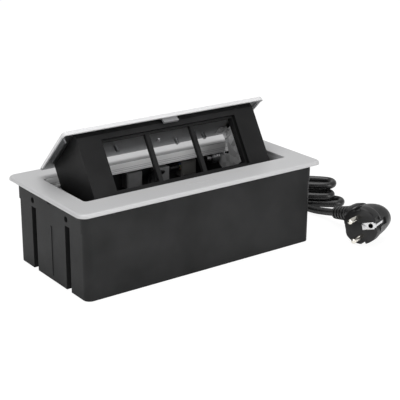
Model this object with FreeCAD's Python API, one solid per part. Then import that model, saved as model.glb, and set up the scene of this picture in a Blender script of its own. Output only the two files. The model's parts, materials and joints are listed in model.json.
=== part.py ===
import FreeCAD, Part
import math
import os

# Pop-up power module for a desk: a plastic housing under a bezel, with a lid and socket
# carrier that swing up about one rear pivot line. Millimetres, +X along the length, +Y to
# the back, +Z up, origin at the bottom centre of the housing.
V = FreeCAD.Vector

# overall
HOUSING_H = 78.7
WALL = 2.4

# bezel
BEZEL_L = 266.0
BEZEL_W = 134.4
BEZEL_T = 3.1
BEZEL_R = 8.2
BEZEL_EDGE = 2.4
RIM_X = 6.45
RIM_Y = 6.5
RIM_DROP = 0.2
RIM_CLEAR = 0.15
OPENING_L = BEZEL_L - 43.2
OPENING_W = BEZEL_W - 59.8
OPENING_R = 3.0
OPENING_EDGE = 0.8
NAME_PANEL_L = 28.0
NAME_PANEL_W = 7.0
NAME_PANEL_D = 0.3
NAME_PANEL_EDGE = 10.2

# trim strip along the rear of the opening
TRIM_L = OPENING_L - 3.4
TRIM_T = 2.8
TRIM_PROUD = 0.6
TRIM_TOP_GAP = 0.5
TRIM_H = 9.7
TRIM_STEP_H = 5.1
TRIM_GROOVE = 0.6

# housing
BAND_STEP = 0.95
BODY_L = BEZEL_L - 2 * RIM_X - 2 * BAND_STEP
BODY_W = BEZEL_W - 2 * RIM_Y
BAND_Z = HOUSING_H - 17.2
INNER_Y = BODY_W / 2 - WALL
LID_TOP = HOUSING_H + BEZEL_T
FLOOR = 2.4
CORNER_R = 6.4
CHANNEL_W = 8.0
CHANNEL_DEPTH = 11.0
CHANNEL_TOP = HOUSING_H - 18.7
CHANNEL_PITCH = 60.0
END_HOLE_Z = HOUSING_H - 11.9
END_HOLE_R = 2.75
NOTCH_W = 5.0
NOTCH_H = 3.0
NOTCH_Z = HOUSING_H - 6.7
RIDGE_W = 2.0
RIDGE_T = 0.5
RIDGE_LOW = 4.5
RIDGE_HIGH = HOUSING_H - 27.2
RIDGE_OFFSET = 1.0

# fixing of the bezel
LUG_INSET = 5.4
LUG_R = 4.6
LUG_T = 4.0
BOSS_R = 4.2
BOSS_H = 8.5
SCREW_R = 1.3
SCREW_CLEAR = 0.35
SCREW_HEAD_R = 2.9
SCREW_HEAD_H = 2.2

# lid
LID_GAP = 0.5
LID_REAR_GAP = 9.0
LID_L = OPENING_L - 0.8
LID_W = OPENING_W - LID_GAP - LID_REAR_GAP
LID_SHEET = 1.5
LID_SKIRT = 4.0
LID_END_SKIRT = 3.2
LID_END_SKIRT_L = LID_W - 6.1
LID_SKIRT_T = 1.6
LID_R = 4.0
LID_RIB_INSET = 6.3
LID_RIB_T = 1.5
LID_RIB_H = 3.0
LID_RIB_START = 14.0
LID_RIB_END = LID_W - 16.1
LID_BOSSES = ((-38.0, 19.1), (34.8, 9.5), (67.2, 10.0))
LID_BOSS_H = 4.6
LID_BOSS_R = 1.9
LID_SCREW_R = 2.1
LID_SCREW_X = 11.5
LID_SCREW_EDGE = 16.0
LID_BRACKET_L = 9.5
LID_BRACKET_W = 10.0
LID_BRACKET_T = 1.0
LID_BRACKET_DROP = 9.0
LID_BRACKET_S = LID_W - 16.1
LID_BRACKET_GAP = 0.05

# pivot line and swing
PIVOT_Y = OPENING_W / 2 + 8.0
PIVOT_Z = HOUSING_H - 13.5
OPEN_ANGLE = 45.0

# carrier, drawn with the lid shut
CARRIER_L = OPENING_L - 27.3
FACE_TOP_Y = -OPENING_W / 2 + 5.7
FACE_TOP_Z = HOUSING_H - 3.5
FACE_LEAN = 13.95
FACE_LEN = 59.0
FACE_T = 2.5
CHEEK_T = 2.5
CHEEK_TOP_W = OPENING_W - 21.6
CHEEK_REAR_H = 22.5
CHEEK_LOW_Y = PIVOT_Y - 33.3
CHEEK_LOW_Z = PIVOT_Z - 31.2
FOOT_D = 6.0
HOOD_SET = 1.2
HOOD_D = 14.0
HOOD_T = 2.0
LID_SEAT_GAP = 0.1
MODULE = 45.0
MODULE_BAR = 4.4
MODULE_RAIL = 2.0
APERTURE_TOP = 4.8
APERTURE_H = 48.9
REVEAL_D = 12.0
REVEAL_T = 1.6
FRAME_SET = 3.4
FRAME_T = 3.6
FRAME_GAP = 0.15
TOE_LENGTH = 9.5
TOE_T = 2.5
TOE_GAP = 0.3
TOE_INNER_X = 20.0
TOE_OUTER_X = CARRIER_L / 2 - 9.75

# hinge plates, brackets, pins and springs
PLATE_T = 1.5
ARM_R = 5.2
PIN_R = 2.5
PIN_CLEAR = 0.05
PIN_HEAD_R = 4.0
PIN_HEAD_T = 1.4
PIN_REACH = 16.0
BRACKET_T = 1.5
BRACKET_GAP = 0.75
BRACKET_W = 16.0
BRACKET_R = 7.0
BRACKET_FLANGE = 11.0
SPRING_R = 5.2
SPRING_WIRE_R = 0.8
SPRING_TURNS = 4.79
SPRING_TURNS_LEFT = 4.21
SPRING_STEPS = 16
SPRING_GAP = 0.35
SPRING_SIDE_GAP = 0.15
SPRING_START = -100.0
SPRING_LEG = 12.0
SLEEVE_R = 3.6

# catch at the middle of the front edge
STRIKER_L = 16.0
STRIKER_T = 1.8
STRIKER_H = 7.1
STRIKER_NOSE = 0.8
CATCH_L = 18.0
CATCH_H = 12.7
CATCH_GAP = 0.4

# wiring inside the housing
BLOCK_D = 11.3
BLOCK_TOP = HOUSING_H - 13.2
BLOCK_H = 15.5
BLOCK_EDGE = 1.2
BLOCK_LEFT_L = 17.5
BLOCK_SCREW_R = 1.7
BLOCK_SCREW_D = 4.0
CLAMP_L = 13.0
CLAMP_D = 13.8
BLOCK_RIGHT_L = 18.0
BLOCK_RIGHT_TOP = HOUSING_H - 12.7
BLOCK_RIGHT_X = CARRIER_L / 2 - 48.25
CLAMP_X = BLOCK_RIGHT_X - 29.5
BLOCK_LEFT_X = CLAMP_X - 35.0
CABLE_AXIS_Y = INNER_Y - 8.7
CABLE_AXIS_Z = HOUSING_H - 17.3
INNER_CABLE_R = 4.0
CORE_R = 1.1
CORE_PITCH = 2.6
CORE_L = 3.9

# cable gland and boot in the rear wall
GLAND_X = BLOCK_LEFT_X - 10.0
GLAND_Z = 38.0
GLAND_R = 8.0
GLAND_CLEAR = 0.1
GLAND_FLANGE_R = 11.0
GLAND_FLANGE_T = 3.0
GLAND_NUT_R = 11.5
GLAND_NUT_T = 6.0
BOOT_END = BODY_W / 2 + 34.3
BOOT_R = 7.0

# mains lead, put away as a hank at the right end
CORD_R = 3.8
HANK_LENGTH = 128.0
HANK_LIFT = 0.8
HANK_TIP = V(229.0, 3.0, 0.0)
HANK_HEADING = -43.95
HANK_BACK = 15.2
HANK_FRONT = 9.2
HANK_TOP = 24.4
HANK_SPLIT = 78.0
HANK_LOOSE_FRONT = 16.5
HANK_LOOSE_TOP = 26.4
HANK_FOOT_LENGTH = 140.0
HANK_FOOT_BACK = -3.0
HANK_FOOT_FRONT = 21.2
HANK_FOOT_TOP = 8.8
HANK_EDGE = 4.0
LEAD_ENTRY = -3.0
TIE_AT = 14.0
TIE_W = 6.0
TIE_T = 0.7
LEAD_A_POINTS = [
    (-25.0, 112.0, 38.0),
    (-12.0, 134.0, 35.5),
    (10.0, 147.5, 28.5),
    (37.0, 152.0, 19.0),
    (64.0, 148.0, 10.5),
    (89.0, 136.0, 5.8),
]
LEAD_A_LAST_RUN = 33.0
LEAD_B_POINTS = [
    (150.5, 69.5, 4.6),
    (160.0, 51.5, 4.4),
    (172.0, 33.0, 4.0),
    (179.5, 14.0, 4.0),
    (181.5, -6.0, 5.4),
]
LEAD_B_LAST_RUN = 16.0

# plug
PLUG_CENTRE = V(156.0, -98.5, 20.4)
PLUG_U = V(0.053, -0.263, -0.963)
PLUG_N = V(-0.913, -0.403, 0.060)
PLUG_R = 19.4
PLUG_DEPTH = 27.0
PLUG_PIN_PITCH = 19.0
PLUG_PIN_R = 2.4
PLUG_PIN_L = 19.0
PLUG_EARTH_OFFSET = 10.0
PLUG_NECK_DIR = V(-0.14, -0.863, -0.488)
PLUG_NECK_START = 24.0
PLUG_RELIEF_L = 28.0
PLUG_CLIP_W = 6.0
PLUG_CLIP_T = 1.0


def prism_x(points, x0, x1):
    corners = [V(x0, y, z) for y, z in points]
    wire = Part.makePolygon(corners + [corners[0]])
    return Part.Face(wire).extrude(V(x1 - x0, 0, 0))


def box(x0, x1, y0, y1, z0, z1):
    return Part.makeBox(x1 - x0, y1 - y0, z1 - z0, V(x0, y0, z0))


def rod(radius, start, end):
    axis = end - start
    return Part.makeCylinder(radius, axis.Length, start, axis)


def vertical_edges(shape):
    found = []
    for edge in shape.Edges:
        room = edge.BoundBox
        if room.ZLength > 1e-6 and room.DiagonalLength - room.ZLength < 1e-6:
            found.append(edge)
    return found


def edges_at_height(shape, z):
    return [e for e in shape.Edges if abs(e.BoundBox.ZMin - z) < 1e-6 and abs(e.BoundBox.ZMax - z) < 1e-6]


def rounded_box(x0, x1, y0, y1, z0, z1, radius):
    block = box(x0, x1, y0, y1, z0, z1)
    return block.makeFillet(radius, vertical_edges(block))


def slab(length, width, z0, z1, radius):
    return rounded_box(-length / 2, length / 2, -width / 2, width / 2, z0, z1, radius)


def fuse_all(first, others):
    return first.multiFuse(others).removeSplitter() if others else first


def turn_point(y, z, degrees):
    a = math.radians(degrees)
    dy = y - PIVOT_Y
    dz = z - PIVOT_Z
    return (PIVOT_Y + dy * math.cos(a) - dz * math.sin(a), PIVOT_Z + dy * math.sin(a) + dz * math.cos(a))


def open_point(y, z):
    return turn_point(y, z, -OPEN_ANGLE)


def shut_point(y, z):
    return turn_point(y, z, OPEN_ANGLE)


def raise_up(shape):
    turned = shape.copy()
    turned.rotate(V(0, PIVOT_Y, PIVOT_Z), V(1, 0, 0), -OPEN_ANGLE)
    return turned


def face_point(s, depth):
    a = math.radians(FACE_LEAN)
    y = FACE_TOP_Y + s * math.sin(a) + depth * math.cos(a)
    z = FACE_TOP_Z - s * math.cos(a) + depth * math.sin(a)
    return (y, z)


def face_block(x0, x1, s0, s1, d0, d1):
    outline = [face_point(s0, d0), face_point(s1, d0), face_point(s1, d1), face_point(s0, d1)]
    return prism_x(outline, x0, x1)


def span_x(side, inner, outer):
    return (inner, outer) if side > 0 else (-outer, -inner)


# housing

def channel_box(side, row, grow, bottom, top):
    x0, x1 = span_x(side, BODY_L / 2 - CHANNEL_DEPTH - grow, BODY_L / 2 + (0 if grow else 5))
    y = row * CHANNEL_PITCH / 2
    half = CHANNEL_W / 2 + grow
    return box(x0, x1, y - half, y + half, bottom, top)


def lug_centres():
    x = BODY_L / 2 - WALL - LUG_INSET
    y = BODY_W / 2 - WALL - LUG_INSET
    return [V(sx * x, sy * y, 0) for sx in (-1, 1) for sy in (-1, 1)]


def lug_z():
    return HOUSING_H - BOSS_H


def make_lug(centre):
    top = lug_z()
    sx = math.copysign(1, centre.x)
    sy = math.copysign(1, centre.y)
    lug = Part.makeCylinder(LUG_R, LUG_T, V(centre.x, centre.y, top - LUG_T))
    reach_x = sorted([centre.x, sx * (BODY_L / 2 - WALL / 2)])
    reach_y = sorted([centre.y, sy * (BODY_W / 2 - WALL / 2)])
    web_a = box(reach_x[0], reach_x[1], centre.y - LUG_R, centre.y + LUG_R, top - LUG_T, top)
    web_b = box(centre.x - LUG_R, centre.x + LUG_R, reach_y[0], reach_y[1], top - LUG_T, top)
    return lug.fuse(web_a).fuse(web_b)


def end_ridges():
    ridges = []
    for side in (-1, 1):
        x0, x1 = span_x(side, BODY_L / 2 - 0.5, BODY_L / 2 + RIDGE_T)
        y0 = -RIDGE_OFFSET - RIDGE_W / 2
        ridges.append(box(x0, x1, y0, y0 + RIDGE_W, RIDGE_LOW, RIDGE_HIGH))
    return ridges


def make_housing():
    lower = slab(BODY_L, BODY_W, 0, BAND_Z, CORNER_R)
    band = slab(BODY_L + 2 * BAND_STEP, BODY_W, BAND_Z, HOUSING_H, CORNER_R)
    inside = slab(BODY_L - 2 * WALL, BODY_W - 2 * WALL, FLOOR, HOUSING_H + 1, CORNER_R - WALL)
    shell = lower.fuse(band).removeSplitter().cut(inside)
    outer = slab(BODY_L, BODY_W, 0, HOUSING_H, CORNER_R)
    added = [channel_box(s, r, WALL, 0, CHANNEL_TOP + WALL) for s in (-1, 1) for r in (-1, 1)]
    added += [make_lug(c).common(outer) for c in lug_centres()] + end_ridges()
    shell = fuse_all(shell, added)
    cuts = [channel_box(s, r, 0, -1, CHANNEL_TOP) for s in (-1, 1) for r in (-1, 1)]
    for side in (-1, 1):
        for row in (-1, 1):
            start = V(side * (BODY_L / 2 - WALL - 1), row * CHANNEL_PITCH / 2, END_HOLE_Z)
            cuts.append(rod(END_HOLE_R, start, start + V(side * 8, 0, 0)))
        x0, x1 = span_x(side, BODY_L / 2 - WALL / 2, BODY_L / 2 + 5)
        cuts.append(box(x0, x1, -NOTCH_W / 2, NOTCH_W / 2, NOTCH_Z, NOTCH_Z + NOTCH_H))
    low = lug_z() - LUG_T - 1
    cuts += [Part.makeCylinder(SCREW_R + SCREW_CLEAR, LUG_T + 2, V(c.x, c.y, low)) for c in lug_centres()]
    inside = V(GLAND_X, INNER_Y - 1, GLAND_Z)
    cuts.append(rod(GLAND_R + GLAND_CLEAR, inside, inside + V(0, WALL + 2, 0)))
    return shell.cut(cuts[0].multiFuse(cuts[1:]))


def trim_front():
    return OPENING_W / 2 - TRIM_PROUD


def rim_plate():
    low = HOUSING_H - RIM_DROP
    plate = slab(BEZEL_L, BEZEL_W, low, LID_TOP, BEZEL_R)
    plate = plate.makeFillet(BEZEL_EDGE, edges_at_height(plate, LID_TOP))
    seat_l = BODY_L + 2 * BAND_STEP + 2 * RIM_CLEAR
    seat_w = BODY_W + 2 * RIM_CLEAR
    return plate.cut(slab(seat_l, seat_w, low - 1, HOUSING_H, CORNER_R + RIM_CLEAR))


def inside_opening(edge):
    c = edge.BoundBox.Center
    rear = edge.BoundBox.YMin > OPENING_W / 2 - 0.1
    return abs(c.x) < OPENING_L / 2 + 0.1 and abs(c.y) < OPENING_W / 2 + 0.1 and not rear


def make_bezel():
    plate = rim_plate().cut(slab(OPENING_L, OPENING_W, HOUSING_H - 1, LID_TOP + 1, OPENING_R))
    mouth = [e for e in edges_at_height(plate, LID_TOP) if inside_opening(e)]
    plate = plate.makeFillet(OPENING_EDGE, mouth)
    bosses = [Part.makeCylinder(BOSS_R, BOSS_H + 0.5, V(c.x, c.y, lug_z())) for c in lug_centres()]
    plate = fuse_all(plate, bosses)
    bore = SCREW_R + 0.02
    cuts = [Part.makeCylinder(bore, BOSS_H - 1, V(c.x, c.y, lug_z() - 0.5)) for c in lug_centres()]
    y0 = -BEZEL_W / 2 + NAME_PANEL_EDGE
    half = NAME_PANEL_L / 2
    cuts.append(box(-half, half, y0, y0 + NAME_PANEL_W, LID_TOP - NAME_PANEL_D, LID_TOP + 1))
    cuts.append(box(-TRIM_L / 2, TRIM_L / 2, 0, trim_front() + TRIM_T, HOUSING_H - 1, LID_TOP - TRIM_TOP_GAP))
    return plate.cut(cuts[0].multiFuse(cuts[1:]))


def make_rear_trim():
    front = trim_front()
    rear = front + TRIM_T
    top = LID_TOP - TRIM_TOP_GAP
    low = top - TRIM_H
    half = TRIM_L / 2
    strip = box(-half, half, front, rear, low, top)
    across = [e for e in strip.Edges if e.BoundBox.YLength > TRIM_T - 0.1 and e.Length < TRIM_T + 0.1]
    strip = strip.makeFillet(TRIM_H * 0.45, across)
    lower = box(-half - 1, half + 1, front - 1, front + TRIM_GROOVE, low - 1, top - TRIM_STEP_H)
    groove = box(-half - 1, half + 1, front - 1, front + TRIM_GROOVE / 2, top - 1.1, top - 0.6)
    return strip.cut(lower.fuse(groove))


def make_bezel_screws():
    screws = []
    for c in lug_centres():
        seat = lug_z() - LUG_T
        shank = Part.makeCylinder(SCREW_R, LUG_T + BOSS_H - 3, V(c.x, c.y, seat))
        head = Part.makeCylinder(SCREW_HEAD_R, SCREW_HEAD_H, V(c.x, c.y, seat - SCREW_HEAD_H))
        screws.append(shank.fuse(head).removeSplitter())
    return Part.makeCompound(screws)


# lid, drawn shut

def lid_front():
    return -OPENING_W / 2 + LID_GAP


def lid_under():
    return LID_TOP - LID_SHEET


def make_lid():
    y0 = lid_front()
    y1 = y0 + LID_W
    half = LID_L / 2
    tray = rounded_box(-half, half, y0, y1, LID_TOP - LID_SKIRT, LID_TOP, LID_R)
    tray = tray.makeFillet(1.2, edges_at_height(tray, LID_TOP))
    low = LID_TOP - LID_SKIRT - 1
    hollow = box(-half + LID_SKIRT_T, half - LID_SKIRT_T, y0 + LID_SKIRT_T, y1 + 5, low, lid_under())
    rear = box(-half - 1, half + 1, y0 + LID_END_SKIRT_L, y1 + 5, low, lid_under())
    ends = box(-half - 1, half + 1, y0 + LID_R, y1 + 5, low, LID_TOP - LID_END_SKIRT)
    tray = tray.cut(hollow.multiFuse([rear, ends]))
    added = []
    for side in (-1, 1):
        outer = half - LID_RIB_INSET
        x0, x1 = span_x(side, outer - LID_RIB_T, outer)
        rib_low = lid_under() - LID_RIB_H
        added.append(box(x0, x1, y0 + LID_RIB_START, y0 + LID_RIB_END, rib_low, lid_under() + 0.5))
    for x, edge in LID_BOSSES:
        added.append(Part.makeCylinder(LID_BOSS_R, LID_BOSS_H + 0.5, V(x, y1 - edge, lid_under() - LID_BOSS_H)))
    return fuse_all(tray, added)


def make_lid_screws():
    rear = lid_front() + LID_W
    low = lid_under() - LID_BOSS_H
    screws = [Part.makeCylinder(LID_BOSS_R - 0.3, 0.8, V(x, rear - edge, low - 0.8)) for x, edge in LID_BOSSES]
    flat = V(LID_SCREW_X, rear - LID_SCREW_EDGE, lid_under() - 1.0)
    screws.append(Part.makeCylinder(LID_SCREW_R, 1.0, flat))
    return Part.makeCompound(screws)


def make_lid_bracket(side):
    outer = plate_inner() - LID_BRACKET_GAP
    y0 = lid_front() + LID_BRACKET_S
    y1 = y0 + LID_BRACKET_W
    top = lid_under()
    x0, x1 = span_x(side, outer - LID_BRACKET_L, outer)
    w0, w1 = span_x(side, outer - LID_BRACKET_T, outer)
    leg = box(x0, x1, y0, y1, top - LID_BRACKET_T, top)
    wall = box(w0, w1, y0, y1, top - LID_BRACKET_DROP, top)
    h0, h1 = span_x(side, outer - LID_BRACKET_T - 1.4, outer - LID_BRACKET_T)
    middle = (y0 + y1) / 2
    bolt = rod(2.2, V(h0, middle, top - LID_BRACKET_DROP * 0.6), V(h1, middle, top - LID_BRACKET_DROP * 0.6))
    x = side * (outer - LID_BRACKET_L * 0.6)
    screw = Part.makeCylinder(2.2, 1.4, V(x, middle, top - LID_BRACKET_T - 1.4))
    return fuse_all(leg, [wall, bolt, screw])


def make_striker():
    y0 = lid_front() + LID_SKIRT_T
    y1 = y0 + STRIKER_T
    top = lid_under()
    low = top - STRIKER_H
    nose = y0 - STRIKER_NOSE
    outline = [(y0, top), (y1, top), (y1, low), (nose, low), (nose, low + 1.2), (y0, low + 2.0)]
    return prism_x(outline, -STRIKER_L / 2, STRIKER_L / 2)


def make_catch():
    tip = lid_front() + LID_SKIRT_T - STRIKER_NOSE - CATCH_GAP
    nose_low = lid_under() - STRIKER_H + 2.0
    nose_top = LID_TOP - LID_SKIRT - CATCH_GAP
    back = -OPENING_W / 2 - 1.0
    low = HOUSING_H - CATCH_H
    outline = [(back - 10, HOUSING_H), (back + 0.4, HOUSING_H), (back + 0.4, nose_top), (tip, nose_top - 0.3)]
    outline += [(tip, nose_low + 0.5), (back + 0.4, nose_low - 1.0), (back, low), (back - 1.8, low)]
    outline += [(back - 1.8, HOUSING_H - 2.5), (back - 10, HOUSING_H - 2.5)]
    return prism_x(outline, -CATCH_L / 2, CATCH_L / 2)


# carrier, drawn shut

def aperture_width():
    return 3 * MODULE + 2 * MODULE_BAR + 2 * MODULE_RAIL


def cheek_rear(t):
    a = math.radians(FACE_LEAN)
    y = FACE_TOP_Y + HOOD_SET + CHEEK_TOP_W
    return (y + t * math.sin(a), carrier_top() - t * math.cos(a))


def carrier_top():
    return lid_under() - LID_SEAT_GAP


def make_toe(side):
    foot_y, foot_z = open_point(*face_point(FACE_LEN, 0))
    top = HOUSING_H - TOE_GAP
    inner_y, inner_z = open_point(*face_point(FACE_LEN - 3.5, FACE_T))
    tip = foot_y - TOE_LENGTH + 1
    outline = [(tip, top), (inner_y, top), (inner_y, top - TOE_T), (tip, top - TOE_T)]
    x0, x1 = span_x(side, TOE_INNER_X, TOE_OUTER_X)
    return prism_x([shut_point(y, z) for y, z in outline], x0, x1)


def hood_front():
    return (FACE_TOP_Y + HOOD_SET, carrier_top())


def hood_outline():
    y, top = hood_front()
    low = top - HOOD_T
    outline = [face_point(0, 0), (y, top), (y + HOOD_D, top), (y + HOOD_D, low)]
    return outline + [(y + 1.6, low), face_point(0.2, FACE_T)]


def cheek_outline():
    outline = [face_point(0, 0), hood_front(), cheek_rear(0), cheek_rear(CHEEK_REAR_H)]
    outline += [(CHEEK_LOW_Y, CHEEK_LOW_Z), face_point(FACE_LEN, FOOT_D), face_point(FACE_LEN, 0)]
    return outline


def make_carrier():
    half = CARRIER_L / 2
    wide = aperture_width() / 2
    end = APERTURE_TOP + APERTURE_H
    rim = wide + REVEAL_T
    face = face_block(-half, half, 0, FACE_LEN, 0, FACE_T)
    reveal = face_block(-rim, rim, APERTURE_TOP - REVEAL_T, end + REVEAL_T, 0, REVEAL_D)
    added = [prism_x(hood_outline(), -half, half), reveal]
    for side in (-1, 1):
        x0, x1 = span_x(side, half - CHEEK_T, half)
        added.append(prism_x(cheek_outline(), x0, x1))
        added.append(make_toe(side))
    body = fuse_all(face, added)
    return body.cut(face_block(-wide, wide, APERTURE_TOP, end, -5, REVEAL_D + 5))


def make_module_frame():
    wide = aperture_width() / 2 - FRAME_GAP
    s0 = APERTURE_TOP + FRAME_GAP
    s1 = APERTURE_TOP + APERTURE_H - FRAME_GAP
    frame = face_block(-wide, wide, s0, s1, FRAME_SET, FRAME_SET + FRAME_T)
    top = APERTURE_TOP + (APERTURE_H - MODULE) / 2
    windows = []
    for i in (-1, 0, 1):
        x = i * (MODULE + MODULE_BAR)
        windows.append(face_block(x - MODULE / 2, x + MODULE / 2, top, top + MODULE, 0, REVEAL_D + 5))
    return frame.cut(windows[0].multiFuse(windows[1:]))


def plate_inner():
    return CARRIER_L / 2 - CHEEK_T - PLATE_T


def make_hinge_plate(side):
    x0, x1 = span_x(side, plate_inner(), plate_inner() + PLATE_T)
    top = carrier_top() - 2.4
    rear_y, rear_z = cheek_rear(2.4)
    low_y, low_z = cheek_rear(22.0)
    outline = [(face_point(2.5, 6)[0], top), (rear_y - 0.6, top), (low_y - 0.6, low_z)]
    outline += [shut_point(PIVOT_Y - 15.8, PIVOT_Z + 6.0)]
    outline += [shut_point(PIVOT_Y - ARM_R * 0.6, PIVOT_Z + ARM_R * 0.8)]
    outline += [shut_point(PIVOT_Y + ARM_R * 0.5, PIVOT_Z - ARM_R * 0.86)]
    outline += [shut_point(PIVOT_Y - 7.8, PIVOT_Z - 11.7)]
    outline += [(low_y + 5, low_z - 15), (rear_y - 16, low_z - 18.5), face_point(FACE_LEN * 0.68, REVEAL_D)]
    plate = prism_x(outline, x0, x1)
    disc = rod(ARM_R, V(x0, PIVOT_Y, PIVOT_Z), V(x1, PIVOT_Y, PIVOT_Z))
    hole = rod(PIN_R + PIN_CLEAR, V(x0 - 1, PIVOT_Y, PIVOT_Z), V(x1 + 1, PIVOT_Y, PIVOT_Z))
    return plate.fuse(disc).removeSplitter().cut(hole)


def make_plate_screws():
    screws = []
    rear_y, rear_z = cheek_rear(0)
    for side in (-1, 1):
        for y, z in ((rear_y - 34, rear_z - 9), (rear_y - 15, rear_z - 31)):
            inner = plate_inner()
            x0, x1 = span_x(side, inner - 1.4, inner)
            screws.append(rod(2.4, V(x0, y, z), V(x1, y, z)))
    return Part.makeCompound(screws)


# hinge brackets, pins and springs on the housing side

def bracket_inner():
    return CARRIER_L / 2 - CHEEK_T + BRACKET_GAP


def make_bracket(side):
    x0, x1 = span_x(side, bracket_inner(), bracket_inner() + BRACKET_T)
    y0 = trim_front() + TRIM_T + 0.2
    y1 = y0 + BRACKET_W
    reach = BRACKET_R * 0.7
    outline = [(y0, HOUSING_H), (y1, HOUSING_H), (y1, PIVOT_Z - 1), (PIVOT_Y + reach, PIVOT_Z - reach)]
    outline += [(PIVOT_Y - BRACKET_R * 0.5, PIVOT_Z - BRACKET_R * 0.5), (y0, PIVOT_Z)]
    ear = prism_x(outline, x0, x1)
    disc = rod(BRACKET_R, V(x0, PIVOT_Y, PIVOT_Z), V(x1, PIVOT_Y, PIVOT_Z))
    disc = disc.common(box(x0, x1, y0, y1, 0, HOUSING_H))
    f0, f1 = span_x(side, bracket_inner(), bracket_inner() + BRACKET_FLANGE)
    flange = box(f0, f1, y0, y1, HOUSING_H - BRACKET_T, HOUSING_H)
    hole = rod(PIN_R, V(x0 - 1, PIVOT_Y, PIVOT_Z), V(x1 + 1, PIVOT_Y, PIVOT_Z))
    return fuse_all(ear, [disc, flange]).cut(hole)


def make_bracket_screws():
    screws = []
    y0 = trim_front() + TRIM_T + 0.2
    for side in (-1, 1):
        x = side * (bracket_inner() + BRACKET_FLANGE - 4)
        for y in (y0 + 4, y0 + BRACKET_W - 4):
            screws.append(Part.makeCylinder(2.4, 1.6, V(x, y, HOUSING_H - BRACKET_T - 1.6)))
    return Part.makeCompound(screws)


def make_pin(side):
    def at(x):
        return V(side * x, PIVOT_Y, PIVOT_Z)
    outer = bracket_inner() + BRACKET_T
    inner = plate_inner() - PIN_REACH
    shaft = rod(PIN_R, at(inner), at(outer))
    sleeve = rod(SLEEVE_R, at(inner), at(plate_inner() - 0.15))
    rivet = rod(PIN_HEAD_R, at(outer), at(outer + PIN_HEAD_T))
    head = rod(PIN_HEAD_R + 1.4, at(inner - PIN_HEAD_T), at(inner))
    return fuse_all(shaft, [sleeve, rivet, head])


def spring_path(side):
    turns = SPRING_TURNS if side > 0 else SPRING_TURNS_LEFT
    pitch = 2 * SPRING_WIRE_R + SPRING_GAP
    length = pitch * turns
    start = plate_inner() - SPRING_SIDE_GAP - SPRING_WIRE_R - length
    begin = math.radians(SPRING_START - side * 90)
    finish = begin + side * 2 * math.pi * turns
    reach = (HOUSING_H - 0.3 - PIVOT_Z - SPRING_R * math.sin(begin)) / math.cos(begin)

    def at(angle, x, along):
        y = SPRING_R * math.cos(angle) - along * math.sin(angle)
        z = SPRING_R * math.sin(angle) + along * math.cos(angle)
        return V(side * (start + x), PIVOT_Y + y, PIVOT_Z + z)

    points = [at(begin, 0, reach * (1 - i / 6)) for i in range(6)]
    count = int(turns * SPRING_STEPS)
    points += [at(begin + (finish - begin) * i / count, length * i / count, 0) for i in range(count + 1)]
    return points + [at(finish, length, side * SPRING_LEG * (i + 1) / 5) for i in range(5)]


def make_spring(side):
    points = spring_path(side)
    curve = Part.BSplineCurve()
    curve.interpolate(points)
    wire = Part.Wire(curve.toShape())
    ring = Part.Wire(Part.makeCircle(SPRING_WIRE_R, points[0], points[1] - points[0]))
    return wire.makePipeShell([ring], True, False)


# wiring

def rounded_path(points):
    pts = [V(*p) if not isinstance(p, FreeCAD.Vector) else p for p in points]
    edges = []
    here = pts[0]
    radii = []
    for i in range(1, len(pts) - 1):
        a = (pts[i] - pts[i - 1])
        b = (pts[i + 1] - pts[i])
        turn = a.getAngle(b)
        cut = 0.45 * min(a.Length, b.Length)
        radii.append(cut / math.tan(turn / 2))
        da = V(a).normalize()
        db = V(b).normalize()
        p0 = pts[i] - da * cut
        p1 = pts[i] + db * cut
        bis = (db - da).normalize()
        reach = radii[-1] / math.cos(turn / 2) - radii[-1]
        middle = pts[i] + bis * reach
        edges.append(Part.LineSegment(here, p0).toShape())
        edges.append(Part.Arc(p0, middle, p1).toShape())
        here = p1
    edges.append(Part.LineSegment(here, pts[-1]).toShape())
    return Part.Wire(edges), radii


def tube(points, radius, name):
    wire, radii = rounded_path(points)
    start = wire.Edges[0].firstVertex(True).Point
    direction = wire.Edges[0].tangentAt(wire.Edges[0].FirstParameter)
    ring = Part.Wire(Part.makeCircle(radius, start, direction))
    solid = wire.makePipeShell([ring], True, False)
    expected = math.pi * radius ** 2 * wire.Length
    print(name, "length %.1f" % wire.Length, "radii", [round(r, 1) for r in radii])
    print(name, "volume ratio %.4f" % (solid.Volume / expected))
    return solid


def make_block(x0, length, top, depth):
    y0 = INNER_Y - depth
    block = box(x0, x0 + length, y0, INNER_Y, top - BLOCK_H, top)
    front = [e for e in block.Edges if abs(e.BoundBox.YMax - y0) < 1e-6]
    block = block.makeChamfer(BLOCK_EDGE, front)
    count = int(length // 6)
    cuts = []
    for i in range(count):
        centre = V(x0 + length * (i + 0.5) / count, INNER_Y - BLOCK_D / 2, top - BLOCK_SCREW_D)
        cuts.append(Part.makeCylinder(BLOCK_SCREW_R, BLOCK_SCREW_D + 1, centre))
    return block.cut(cuts[0].multiFuse(cuts[1:]))


def sheath_end():
    return BLOCK_RIGHT_X - CORE_L


def inner_cable_points():
    y_nut = INNER_Y - GLAND_NUT_T
    exit_x = CLAMP_X + CLAMP_L
    return [
        (GLAND_X, y_nut, GLAND_Z),
        (GLAND_X, y_nut - 14, GLAND_Z),
        (GLAND_X + 12, y_nut - 25, GLAND_Z + 5),
        (GLAND_X + 28, y_nut - 22, GLAND_Z + 14),
        (CLAMP_X - 9, CABLE_AXIS_Y - 4.6, CABLE_AXIS_Z - 1.2),
        (exit_x - 1, CABLE_AXIS_Y, CABLE_AXIS_Z),
        (sheath_end(), CABLE_AXIS_Y, CABLE_AXIS_Z),
    ]


def make_core(row):
    z = CABLE_AXIS_Z + row * CORE_PITCH
    return rod(CORE_R, V(sheath_end(), CABLE_AXIS_Y, z), V(BLOCK_RIGHT_X, CABLE_AXIS_Y, z))


def make_clamp(cable):
    return make_block(CLAMP_X, CLAMP_L, BLOCK_TOP, CLAMP_D).cut(cable)


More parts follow.
